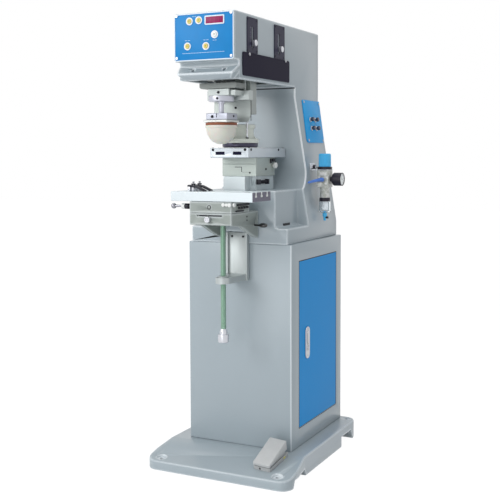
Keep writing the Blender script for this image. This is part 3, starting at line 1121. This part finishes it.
def knee(lift):
    underside = [(BLOCK_FRONT - reach, KNEE_TOP - drop) for reach, drop in KNEE_UNDERSIDE]
    side = ([(KNEE_BACK, KNEE_TOP), (KNEE_FRONT, KNEE_TOP), (KNEE_FRONT, KNEE_TOP - KNEE_FRONT_HEIGHT)]
            + underside + [(KNEE_BACK, KNEE_FOOT)])
    body = outline("knee", side, "X", -KNEE_SIDE, KNEE_SIDE, GREY_ENAMEL, lift)
    round_edges(body, GAP * 4, 1)
    inner = KNEE_SIDE - KNEE_CHEEK
    hollow = box("knee_hollow", (-inner, KNEE_FRONT + KNEE_CHEEK, KNEE_FOOT - OVERRUN),
                 (inner, KNEE_BACK + OVERRUN, KNEE_TOP - KNEE_SLAB), parent=lift)
    groove = box("knee_groove", (-WAY_SIDE - RUNNING_GAP, WAY_FRONT - RUNNING_GAP, KNEE_FOOT - OVERRUN),
                 (WAY_SIDE + RUNNING_GAP, KNEE_BACK + OVERRUN, KNEE_TOP + OVERRUN), parent=lift)
    slot = box("knee_slot", (KNEE_SLOT_X[0], KNEE_FRONT - OVERRUN, KNEE_TOP - KNEE_SLOT_DROP[1]),
               (KNEE_SLOT_X[1], KNEE_FRONT + KNEE_SLOT_DEPTH, KNEE_TOP - KNEE_SLOT_DROP[0]), parent=lift)
    feed_bore = rod("feed_bore", (FEED_KNOB_X, KNEE_FRONT - OVERRUN, FEED_KNOB_Z), FEED_SHAFT_RADIUS + GAP,
                    FEED_SHAFT_SEAT + OVERRUN + GAP, "Y", parent=lift, sides=16)
    lever_bore = rod("lever_bore", (KNEE_SIDE + OVERRUN, KNEE_LEVER_Y, KNEE_LEVER_Z), LEVER_NECK + GAP,
                     -(LEVER_SEAT + OVERRUN + GAP), "X", parent=lift, sides=16)
    cut(body, hollow, groove, slot, feed_bore, lever_bore)
    turn = pivot("feed_knob_turn", (FEED_KNOB_X, KNEE_FRONT, FEED_KNOB_Z), lift)
    radius = FEED_KNOB_RADIUS
    outer = GAP + FEED_KNOB_LENGTH
    edge = FEED_KNOB_EDGE
    socket = outer - FEED_SOCKET_DEPTH
    turned("y_feed_knob", (FEED_KNOB_X, KNEE_FRONT, FEED_KNOB_Z),
           [(0, socket), (FEED_SOCKET[0], socket), (FEED_SOCKET[1], outer), (radius - edge, outer),
            (radius, outer - edge), (radius, GAP), (FEED_SHAFT_RADIUS, GAP),
            (FEED_SHAFT_RADIUS, -FEED_SHAFT_SEAT), (0, -FEED_SHAFT_SEAT)],
           "-Y", STEEL, turn, sides=20)
    lever_turn = pivot("knee_lever_turn", (KNEE_SIDE, KNEE_LEVER_Y, KNEE_LEVER_Z), lift)
    shares = [step / (LEVER_STEPS + 1) for step in range(1, LEVER_STEPS + 1)]
    bulb = [(LEVER_NECK + (LEVER_BULB - LEVER_NECK) * sin(pi * share),
             LEVER_LENGTH - (LEVER_LENGTH - LEVER_STEM) * share) for share in shares]
    turned("knee_lever", (KNEE_SIDE, KNEE_LEVER_Y, KNEE_LEVER_Z),
           [(0, LEVER_LENGTH), (LEVER_TIP, LEVER_LENGTH)] + bulb
           + [(LEVER_NECK, LEVER_STEM), (LEVER_NECK, -LEVER_SEAT), (0, -LEVER_SEAT)],
           "X", BLACK_OXIDE, lever_turn, sides=16)


# Compound slides on the knee, and the slotted worktable with its strap clamps.
SLIDE_SIDE = 0.066
SLIDE_REACH = (0.170, 0.063)
SLIDE_HEIGHT = 0.0312
SLIDE_SOCKET_X = -0.0034
SLIDE_SOCKET_RADIUS = 0.0055
SLIDE_SOCKET_DEPTH = 0.006
CROSS_SHAFT_REACH = 0.146
CROSS_SHAFT_RISE = 0.0165
CROSS_SHAFT_RADIUS = 0.003
CROSS_SHAFT_SEAT = 0.012
COLLAR_OUT = (0.0155, 0.037)
COLLAR_RADIUS = 0.008
BALL_OUT = 0.065
BALL_RADIUS = 0.008
BALL_ANGLES = (0, 22, 45, 68, 90, 112, 135, 156)
TABLE_REACH = 0.167
TABLE_HEIGHT = 0.0270
SLOT_PITCH = 0.035
SLOT_NECK = 0.008
SLOT_WIDTH = 0.0135
SLOT_NECK_DEPTH = 0.0085
SLOT_DEPTH = 0.0150
STRAP_X = (-0.083, -0.028)
STRAP_WIDTH = 0.016
STRAP_THICKNESS = 0.006
STUD_X = -0.0675
STUD_RADIUS = 0.003
STUD_RISE = 0.028
NUT_RADIUS = 0.0062
NUT_HEIGHT = 0.006
SLIDE_Y = (BLOCK_FRONT - SLIDE_REACH[0], BLOCK_FRONT - SLIDE_REACH[1])
CROSS_SHAFT_Y = BLOCK_FRONT - CROSS_SHAFT_REACH
TABLE_FRONT = BLOCK_FRONT - TABLE_REACH
SLIDE_FOOT = KNEE_TOP + RUNNING_GAP
SLIDE_TOP = SLIDE_FOOT + SLIDE_HEIGHT
TABLE_FOOT = SLIDE_TOP + RUNNING_GAP
TABLE_TOP = TABLE_FOOT + TABLE_HEIGHT
CROSS_SHAFT_Z = SLIDE_FOOT + CROSS_SHAFT_RISE
TABLE_SIDE = TABLE_LENGTH / 2
TABLE_MIDDLE = TABLE_FRONT + TABLE_DEPTH / 2


def slides(y_travel):
    body = box("upper_slide", (-SLIDE_SIDE, SLIDE_Y[0], SLIDE_FOOT), (SLIDE_SIDE, SLIDE_Y[1], SLIDE_TOP),
               GREY_ENAMEL, y_travel)
    round_edges(body, GAP * 4, 1)
    socket = rod("slide_socket", (SLIDE_SOCKET_X, SLIDE_Y[0] - OVERRUN, CROSS_SHAFT_Z), SLIDE_SOCKET_RADIUS,
                 SLIDE_SOCKET_DEPTH + OVERRUN, "Y", parent=y_travel, sides=16)
    bore = rod("cross_shaft_bore", (-SLIDE_SIDE - OVERRUN, CROSS_SHAFT_Y, CROSS_SHAFT_Z),
               CROSS_SHAFT_RADIUS + GAP, CROSS_SHAFT_SEAT + OVERRUN + GAP, "X", parent=y_travel, sides=16)
    cut(body, socket, bore)
    turn = pivot("cross_feed_turn", (-SLIDE_SIDE, CROSS_SHAFT_Y, CROSS_SHAFT_Z), y_travel)
    ball = [(BALL_RADIUS * sin(radians(angle)), BALL_OUT + BALL_RADIUS * cos(radians(angle)))
            for angle in BALL_ANGLES]
    turned("x_feed_knob", (-SLIDE_SIDE, CROSS_SHAFT_Y, CROSS_SHAFT_Z),
           ball + [(CROSS_SHAFT_RADIUS, COLLAR_OUT[1]), (COLLAR_RADIUS, COLLAR_OUT[1]),
                   (COLLAR_RADIUS, COLLAR_OUT[0]), (CROSS_SHAFT_RADIUS, COLLAR_OUT[0]),
                   (CROSS_SHAFT_RADIUS, -CROSS_SHAFT_SEAT), (0, -CROSS_SHAFT_SEAT)],
           "-X", STEEL, turn, sides=16)


def t_slot_y(place):
    """The middle of one of the table's three T-slots, counted from the front."""
    return TABLE_MIDDLE + (place - 1) * SLOT_PITCH


def worktable(x_travel):
    body = box("worktable", (-TABLE_SIDE, TABLE_FRONT, TABLE_FOOT),
               (TABLE_SIDE, TABLE_FRONT + TABLE_DEPTH, TABLE_TOP), MACHINED, x_travel)
    round_edges(body, GAP * 4, 1)
    for place in range(3):
        y = t_slot_y(place)
        wide = SLOT_WIDTH / 2
        neck = SLOT_NECK / 2
        section = [(y + neck, TABLE_TOP + OVERRUN), (y + neck, TABLE_TOP - SLOT_NECK_DEPTH),
                   (y + wide, TABLE_TOP - SLOT_NECK_DEPTH), (y + wide, TABLE_TOP - SLOT_DEPTH),
                   (y - wide, TABLE_TOP - SLOT_DEPTH), (y - wide, TABLE_TOP - SLOT_NECK_DEPTH),
                   (y - neck, TABLE_TOP - SLOT_NECK_DEPTH), (y - neck, TABLE_TOP + OVERRUN)]
        cut(body, outline(f"t_slot_{place + 1}", section, "X", -TABLE_SIDE - OVERRUN, TABLE_SIDE + OVERRUN,
                          parent=x_travel))
    for name, place in (("strap_clamp_front", 0), ("strap_clamp_middle", 1)):
        strap_clamp(name, t_slot_y(place), x_travel)


def strap_clamp(name, y, x_travel):
    """A tapered strap under a nut, on a T-headed stud in its slot."""
    slide = pivot(name + "_travel", (STUD_X, y, TABLE_TOP), x_travel)
    low = TABLE_TOP + GAP
    half = STRAP_WIDTH / 2
    nose = (STRAP_X[1] - STRAP_X[0]) / 3
    plan = [(STRAP_X[0], y - half), (STRAP_X[1] - nose, y - half), (STRAP_X[1], y - half / 3),
            (STRAP_X[1], y + half / 3), (STRAP_X[1] - nose, y + half), (STRAP_X[0], y + half)]
    strap = outline(name, plan, "Z", low, low + STRAP_THICKNESS, BLACK_OXIDE, slide)
    nut = rod(name + "_nut", (STUD_X, y, low + STRAP_THICKNESS - OVERRUN), NUT_RADIUS, NUT_HEIGHT + OVERRUN,
              parent=slide, sides=6)
    stud = rod(name + "_stud", (STUD_X, y, TABLE_TOP - SLOT_DEPTH + RUNNING_GAP * 2), STUD_RADIUS,
               SLOT_DEPTH - RUNNING_GAP * 2 + STUD_RISE, parent=slide, sides=12)
    head = SLOT_WIDTH / 2 - RUNNING_GAP * 2
    t_head = box(name + "_t_head", (STUD_X - head, y - head, TABLE_TOP - SLOT_DEPTH + RUNNING_GAP),
                 (STUD_X + head, y + head, TABLE_TOP - SLOT_NECK_DEPTH - RUNNING_GAP), parent=slide)
    fuse(strap, nut, stud, t_head)


# Knee screw: a threaded rod with its hand knob, turning in the tongue of a bracket on the casting.
SCREW_REACH = 0.096
SCREW_RADIUS = 0.008
SCREW_DROP = 0.169
KNOB_RADIUS = 0.0155
KNOB_HEIGHT = 0.0235
KNOB_CONE = 0.015
KNOB_CONE_FOOT = 0.006
KNOB_NECK_RADIUS = 0.011
THREAD_END = 0.0016
BRACKET_DROP = 0.1066
BRACKET_RISE = 0.0324
BRACKET_WALL = 0.006
BRACKET_TONGUE = 0.018
TONGUE_RADIUS = 0.022
TONGUE_ROOT_SIDE = 0.031
SCREW_Y = BLOCK_FRONT - SCREW_REACH
BRACKET_Z = (CASTING_FOOT - BRACKET_DROP, CASTING_FOOT + BRACKET_RISE)
SCREW_FOOT = BRACKET_Z[0] - SCREW_DROP
BRACKET_FRONT = WAY_FRONT
BRACKET_BACK = BLOCK_FRONT - GAP


def screw_bracket():
    low, high = BRACKET_Z
    body = box("screw_bracket", (-WAY_SIDE, BRACKET_FRONT, low), (WAY_SIDE, BRACKET_BACK, high), MACHINED)
    hollow = box("bracket_hollow",
                 (-WAY_SIDE + BRACKET_WALL, BRACKET_FRONT - OVERRUN, low + BRACKET_TONGUE),
                 (WAY_SIDE - BRACKET_WALL, BRACKET_BACK - BRACKET_WALL, high + OVERRUN))
    cut(body, hollow)
    plan = mirrored([(TONGUE_ROOT_SIDE, BRACKET_FRONT + OVERRUN)]
                    + arc(0, SCREW_Y, TONGUE_RADIUS, 10, -90, 6))
    fuse(body, outline("bracket_tongue", plan, "Z", low, low + BRACKET_TONGUE))
    cut(body, rod("screw_bore", (0, SCREW_Y, low - OVERRUN), SCREW_RADIUS + RUNNING_GAP,
                  BRACKET_TONGUE + OVERRUN * 2))


def lead_screw(lift):
    turn = pivot("lead_screw_turn", (0, SCREW_Y, SCREW_FOOT), lift)
    top = KNEE_TOP - KNEE_SLAB - GAP - SCREW_FOOT
    turned("lead_screw", (0, SCREW_Y, SCREW_FOOT),
           [(0, top), (SCREW_RADIUS - THREAD_END, top), (SCREW_RADIUS, top - THREAD_END),
            (SCREW_RADIUS, KNOB_HEIGHT + KNOB_CONE), (KNOB_NECK_RADIUS, KNOB_HEIGHT + KNOB_CONE_FOOT),
            (KNOB_NECK_RADIUS, KNOB_HEIGHT), (KNOB_RADIUS, KNOB_HEIGHT), (KNOB_RADIUS, OVERRUN),
            (KNOB_RADIUS - OVERRUN, 0), (0, 0)],
           finish=STEEL, parent=turn, sides=20)


# Foot pedal on the sloping apron: a low base and a sprung treadle over it, hinged near the front.
PEDAL_IN = (0.0805, 0.085)
PEDAL_YAW = 7.45
PEDAL_SIDE = 0.0275
PEDAL_LENGTH = 0.097
PEDAL_BASE_HEIGHT = 0.0102
PEDAL_FRONT_HEIGHT = 0.0205
PEDAL_REAR_HEIGHT = 0.0490
TREADLE_WALL = 0.0025
TREADLE_SKIRT = (0.0115, 0.0215)
TREADLE_CORNER = 0.004
PEDAL_PIN_BACK = 0.009
PEDAL_PIN_Z = 0.0155
PEDAL_PIN_RADIUS = 0.0020
LUG_X = (0.016, 0.021)
LUG_HALF = 0.004
GLAND_RADIUS = 0.0036
GLAND_LENGTH = 0.007
GLAND_X = 0.021
PEDAL_SEAT = (BASE_SIDE - PEDAL_IN[0], BASE_FRONT + PEDAL_IN[1])
APRON_SLOPE = atan((BASE_HEIGHT - LIP_HEIGHT) / (APRON_TOP_Y - BASE_FRONT))


def foot_pedal():
    x, y = PEDAL_SEAT
    seat = pivot("pedal_seat", (x, y, apron_height(y) + GAP * 2),
                 turned_by=(APRON_SLOPE, 0, -radians(PEDAL_YAW)))
    half = PEDAL_LENGTH / 2
    base = outline("pedal_base", rounded((-PEDAL_SIDE, -half), (PEDAL_SIDE, half), TREADLE_CORNER), "Z",
                   0, PEDAL_BASE_HEIGHT, BEIGE_PLASTIC, seat)
    pin_y = -half + PEDAL_PIN_BACK
    for name, sign in (("left", -1), ("right", 1)):
        inner, outer = sorted((sign * LUG_X[0], sign * LUG_X[1]))
        fuse(base, box("pedal_lug_" + name, (inner, pin_y - LUG_HALF, PEDAL_BASE_HEIGHT / 2),
                       (outer, pin_y + LUG_HALF / 2, PEDAL_PIN_Z), parent=seat))
    pin = rod("pedal_pin", (-PEDAL_SIDE + GAP, pin_y, PEDAL_PIN_Z), PEDAL_PIN_RADIUS,
              (PEDAL_SIDE - GAP) * 2, "X", parent=seat, sides=12)
    gland = rod("pedal_gland", (GLAND_X, half - OVERRUN, PEDAL_BASE_HEIGHT / 2), GLAND_RADIUS,
                GLAND_LENGTH + OVERRUN, "Y", parent=seat, sides=12)
    fuse(base, pin, gland)
    hinge = pivot("treadle_hinge", (0, pin_y, PEDAL_PIN_Z), seat)
    side = [(-half, TREADLE_SKIRT[0]), (half, TREADLE_SKIRT[1]), (half, PEDAL_REAR_HEIGHT),
            (-half, PEDAL_FRONT_HEIGHT)]
    treadle = outline("pedal_treadle", side, "X", -PEDAL_SIDE, PEDAL_SIDE, BEIGE_PLASTIC, hinge)
    round_edges(treadle, TREADLE_CORNER / 2)
    wall = TREADLE_WALL
    inside = [(-half + wall, -OVERRUN), (half - wall, -OVERRUN), (half - wall, PEDAL_REAR_HEIGHT - wall),
              (-half + wall, PEDAL_FRONT_HEIGHT - wall)]
    side_in = PEDAL_SIDE - wall
    cut(treadle, outline("treadle_inside", inside, "X", -side_in, side_in, parent=hinge),
        rod("treadle_pin_bore", (-PEDAL_SIDE - OVERRUN, pin_y, PEDAL_PIN_Z), PEDAL_PIN_RADIUS + GAP,
            PEDAL_SIDE * 2 + OVERRUN * 2, "X", parent=hinge, sides=12))


# Air unit: filter regulator in a bracket on the column, with gauge, bowl, drain and hand valve.
UNIT_OUT = 0.018960829
UNIT_Y = 0.050
BODY_HALF = 0.019
BODY_RISE = (0.1089, 0.1629)
BODY_CORNER = 0.006
NECK_RADIUS = 0.0145
NECK_DROP = 0.030
BAND_RADIUS = 0.0165
BAND_HEIGHT = 0.011
BONNET_RADIUS = 0.0135
NUT_RING_RADIUS = 0.0225
NUT_RING_HEIGHT = 0.008
KNOB_RISE = 0.051
REGULATOR_KNOB_EDGE = 0.0023
REGULATOR_KNOB_RADIUS = 0.019
BOWL_RADIUS = 0.0178
BOWL_WALL = 0.002
BOWL_HEIGHT = 0.035
BOWL_TAPER = 0.0035
FILTER_RADIUS = 0.009
FILTER_LENGTH = 0.022
DRAIN_RADIUS = 0.0068
DRAIN_LENGTH = 0.024
DRAIN_STEM = 0.003
DRAIN_TAIL_RADIUS = 0.0041
DRAIN_TAIL = 0.0132
DRAIN_SHOULDER = 0.0108
SPOUT_DROP = 0.0144
SPOUT_LENGTH = 0.0116
ARM_THICKNESS = 0.0022
ARM_HALF = 0.0185
ARM_FOOT_RISE = 0.020
PORT_RISE = 0.0115
PORT_RADIUS = 0.0075
PORT_LENGTH = 0.0255
PORT_TIP_RADIUS = 0.006
PORT_TIP_LENGTH = 0.0065
PORT_EDGE = 0.0013
VALVE_STEM_RADIUS = 0.003
VALVE_STEM_BACK = 0.008
VALVE_LEVER_LENGTH = 0.055
VALVE_LEVER_HEIGHT = 0.0125
VALVE_LEVER_THICKNESS = 0.009
VALVE_LEVER_REST = 25
VALVE_HUB_RADIUS = 0.0058
VALVE_TIP_RADIUS = 0.0032
VALVE_WAIST = 0.0165
GAUGE_RADIUS = 0.020
GAUGE_THICKNESS = 0.017
GAUGE_NECK = 0.0220
GAUGE_NECK_RADIUS = 0.006
GAUGE_GLASS = 0.017
GAUGE_BACK_RADIUS = 0.014
GAUGE_BACK_RISE = 0.0165
GAUGE_NECK_RISE = 0.0066
BODY_Z = (FLANGE_TOP + BODY_RISE[0], FLANGE_TOP + BODY_RISE[1])
PORT_Z = BODY_Z[0] + PORT_RISE
BODY_MIDDLE_Z = (BODY_Z[0] + BODY_Z[1]) / 2
ARM_TOP = BODY_Z[1] + GAP + ARM_THICKNESS
BAND_FOOT = BODY_Z[0] - NECK_DROP - BAND_HEIGHT
BOWL_FOOT = BAND_FOOT - GAP - BOWL_HEIGHT
UNIT_X = column_side(BOWL_FOOT) + UNIT_OUT


def air_unit():
    low, high = BODY_Z
    half = BODY_HALF
    plan = rounded((UNIT_X - half, UNIT_Y - half), (UNIT_X + half, UNIT_Y + half), BODY_CORNER)
    body = outline("regulator_body", plan, "Z", low, high, MACHINED)
    ring_foot = ARM_TOP + GAP
    ring = ring_foot + NUT_RING_HEIGHT
    bonnet = turned("regulator_bonnet", (UNIT_X, UNIT_Y, 0),
                    [(0, ring), (NUT_RING_RADIUS, ring), (NUT_RING_RADIUS, ring_foot),
                     (BONNET_RADIUS, ring_foot), (BONNET_RADIUS, high - OVERRUN), (0, high - OVERRUN)])
    neck_foot = low - NECK_DROP
    neck = turned("regulator_neck", (UNIT_X, UNIT_Y, 0),
                  [(0, low + OVERRUN), (NECK_RADIUS, low + OVERRUN), (NECK_RADIUS, neck_foot),
                   (BAND_RADIUS, neck_foot), (BAND_RADIUS, BAND_FOOT), (FILTER_RADIUS, BAND_FOOT),
                   (FILTER_RADIUS, BAND_FOOT - FILTER_LENGTH), (0, BAND_FOOT - FILTER_LENGTH)])
    shoulder = PORT_LENGTH - PORT_TIP_LENGTH
    valve = turned("valve_body", (UNIT_X, UNIT_Y - BODY_HALF + OVERRUN, PORT_Z),
                   [(0, PORT_LENGTH), (PORT_TIP_RADIUS, PORT_LENGTH), (PORT_TIP_RADIUS, shoulder),
                    (PORT_RADIUS, shoulder - PORT_EDGE), (PORT_RADIUS, 0), (0, 0)], "-Y", sides=20)
    fuse(body, bonnet, neck, valve)
    stem_y = UNIT_Y - BODY_HALF - VALVE_STEM_BACK
    stem_bore = rod("valve_stem_bore", (UNIT_X, stem_y, PORT_Z), VALVE_STEM_RADIUS + GAP, PORT_RADIUS * 2,
                    sides=12)
    port = rod("gauge_port", (UNIT_X + BODY_HALF - GAUGE_NECK_RADIUS, UNIT_Y, BODY_MIDDLE_Z),
               GAUGE_NECK_RADIUS + GAP, GAUGE_NECK_RADIUS * 2, "X", sides=16)
    cut(body, stem_bore, port)
    regulator_bracket()
    regulator_knob(ring)
    filter_bowl()
    hand_valve(stem_y)
    face = GAUGE_NECK + GAUGE_THICKNESS
    glass = face - OVERRUN / 2
    foot = GAP - GAUGE_NECK_RADIUS
    turned("pressure_gauge", (UNIT_X + BODY_HALF, UNIT_Y, BODY_MIDDLE_Z),
           [(0, glass), (GAUGE_GLASS, glass), (GAUGE_GLASS, face), (GAUGE_RADIUS, face),
            (GAUGE_RADIUS, GAUGE_NECK), (GAUGE_BACK_RADIUS, GAUGE_BACK_RISE),
            (GAUGE_NECK_RADIUS, GAUGE_NECK_RISE), (GAUGE_NECK_RADIUS, foot), (0, foot)],
           "X", DARK_ENAMEL)


def regulator_bracket():
    """A folded plate: its arm clamps under the bonnet's ring and its foot follows the column."""
    top = ARM_TOP
    under = BODY_Z[1] + GAP
    root = column_side(top) + GAP * 2
    foot_top = top + ARM_FOOT_RISE
    head = column_side(foot_top) + GAP * 2
    section = [(root, under), (UNIT_X + BODY_HALF, under), (UNIT_X + BODY_HALF, top),
               (root + ARM_THICKNESS, top), (head + ARM_THICKNESS, foot_top), (head, foot_top)]
    arm = outline("regulator_bracket", section, "Y", UNIT_Y - ARM_HALF, UNIT_Y + ARM_HALF, STEEL)
    cut(arm, rod("bracket_eye", (UNIT_X, UNIT_Y, under - OVERRUN), BONNET_RADIUS + GAP,
                 ARM_THICKNESS + OVERRUN * 2))


def regulator_knob(ring):
    turn = pivot("regulator_knob_turn", (UNIT_X, UNIT_Y, ring))
    height = BODY_Z[1] + KNOB_RISE - ring
    radius = REGULATOR_KNOB_RADIUS
    edge = REGULATOR_KNOB_EDGE
    turned("regulator_knob", (UNIT_X, UNIT_Y, ring + GAP),
           [(0, height), (radius - edge, height), (radius, height - edge), (radius, 0), (0, 0)],
           finish=BLUE_PLASTIC, parent=turn)


def filter_bowl():
    radius = BOWL_RADIUS
    inner = radius - BOWL_WALL
    bore = DRAIN_STEM + GAP
    turned("filter_bowl", (UNIT_X, UNIT_Y, BOWL_FOOT),
           [(radius, BOWL_HEIGHT), (radius, BOWL_TAPER), (radius - BOWL_TAPER, 0), (bore, 0),
            (bore, BOWL_WALL), (inner - BOWL_TAPER, BOWL_WALL), (inner, BOWL_TAPER + BOWL_WALL),
            (inner, BOWL_HEIGHT)],
           finish=CLEAR_PLASTIC, ring=True)
    turn = pivot("drain_cock_turn", (UNIT_X, UNIT_Y, BOWL_FOOT))
    top = BOWL_WALL + OVERRUN / 2
    cock = turned("drain_cock", (UNIT_X, UNIT_Y, BOWL_FOOT),
                  [(0, top), (DRAIN_STEM, top), (DRAIN_STEM, -GAP), (DRAIN_RADIUS, -GAP),
                   (DRAIN_RADIUS, -DRAIN_SHOULDER), (DRAIN_TAIL_RADIUS, -DRAIN_TAIL),
                   (DRAIN_TAIL_RADIUS, -DRAIN_LENGTH), (0, -DRAIN_LENGTH)],
                  finish=BLUE_PLASTIC, parent=turn, sides=16)
    spout = rod("drain_spout", (UNIT_X, UNIT_Y, BOWL_FOOT - SPOUT_DROP), DRAIN_STEM, SPOUT_LENGTH, "X",
                parent=turn, sides=12)
    fuse(cock, spout)


def hand_valve(stem_y):
    turn = pivot("valve_lever_turn", (UNIT_X, stem_y, PORT_Z))
    low = PORT_Z + PORT_RADIUS + GAP * 2
    half = VALVE_LEVER_THICKNESS / 2
    blade = outline("valve_lever",
                    arc(0, 0, VALVE_HUB_RADIUS, -20, 200, 8) + [(-half, -VALVE_WAIST)]
                    + arc(0, VALVE_TIP_RADIUS - VALVE_LEVER_LENGTH, VALVE_TIP_RADIUS, 180, 360, 5)
                    + [(half, -VALVE_WAIST)],
                    "Z", 0, VALVE_LEVER_HEIGHT, BLUE_PLASTIC, turn)
    blade.location = (UNIT_X, stem_y, low)
    blade.rotation_euler = (0, 0, -radians(VALVE_LEVER_REST))
    round_edges(blade, GAP * 4, 1)
    stem = rod("valve_stem", (UNIT_X, stem_y, PORT_Z + GAP), VALVE_STEM_RADIUS,
               PORT_RADIUS + VALVE_LEVER_HEIGHT / 2, parent=turn, sides=12)
    fuse(blade, stem)


def pad_printing_machine():
    base_casting()
    cabinet_shell()
    cabinet_door()
    frame_casting()
    control_panel()
    side_cover()
    scale_plate("scale_plate_front", SCALE_FRONT_Y, STROKE_FRONT_Y)
    scale_plate("scale_plate_rear", SCALE_REAR_Y, STROKE_REAR_Y)
    stroke_knob("stroke_knob_front", STROKE_FRONT_Y)
    stroke_knob("stroke_knob_rear", STROKE_REAR_Y)
    flow_panel()
    carriage_guide()
    carriage_cylinder()
    travel = pivot("carriage_travel", (0, CARRIAGE_BACK, GUIDE_Z))
    carriage(travel)
    ink_cup(travel)
    down = pivot("ram_travel", (0, RAM_Y, PAD_TOP), travel)
    ram(down)
    pad_train(down)
    plate_bed()
    lift = pivot("knee_lift", (0, SCREW_Y, KNEE_TOP))
    knee(lift)
    y_travel = pivot("slide_travel", (0, SLIDE_Y[0], SLIDE_FOOT), lift)
    slides(y_travel)
    x_travel = pivot("table_travel", (0, TABLE_MIDDLE, TABLE_FOOT), y_travel)
    worktable(x_travel)
    screw_bracket()
    lead_screw(lift)
    foot_pedal()
    air_unit()


pad_printing_machine()
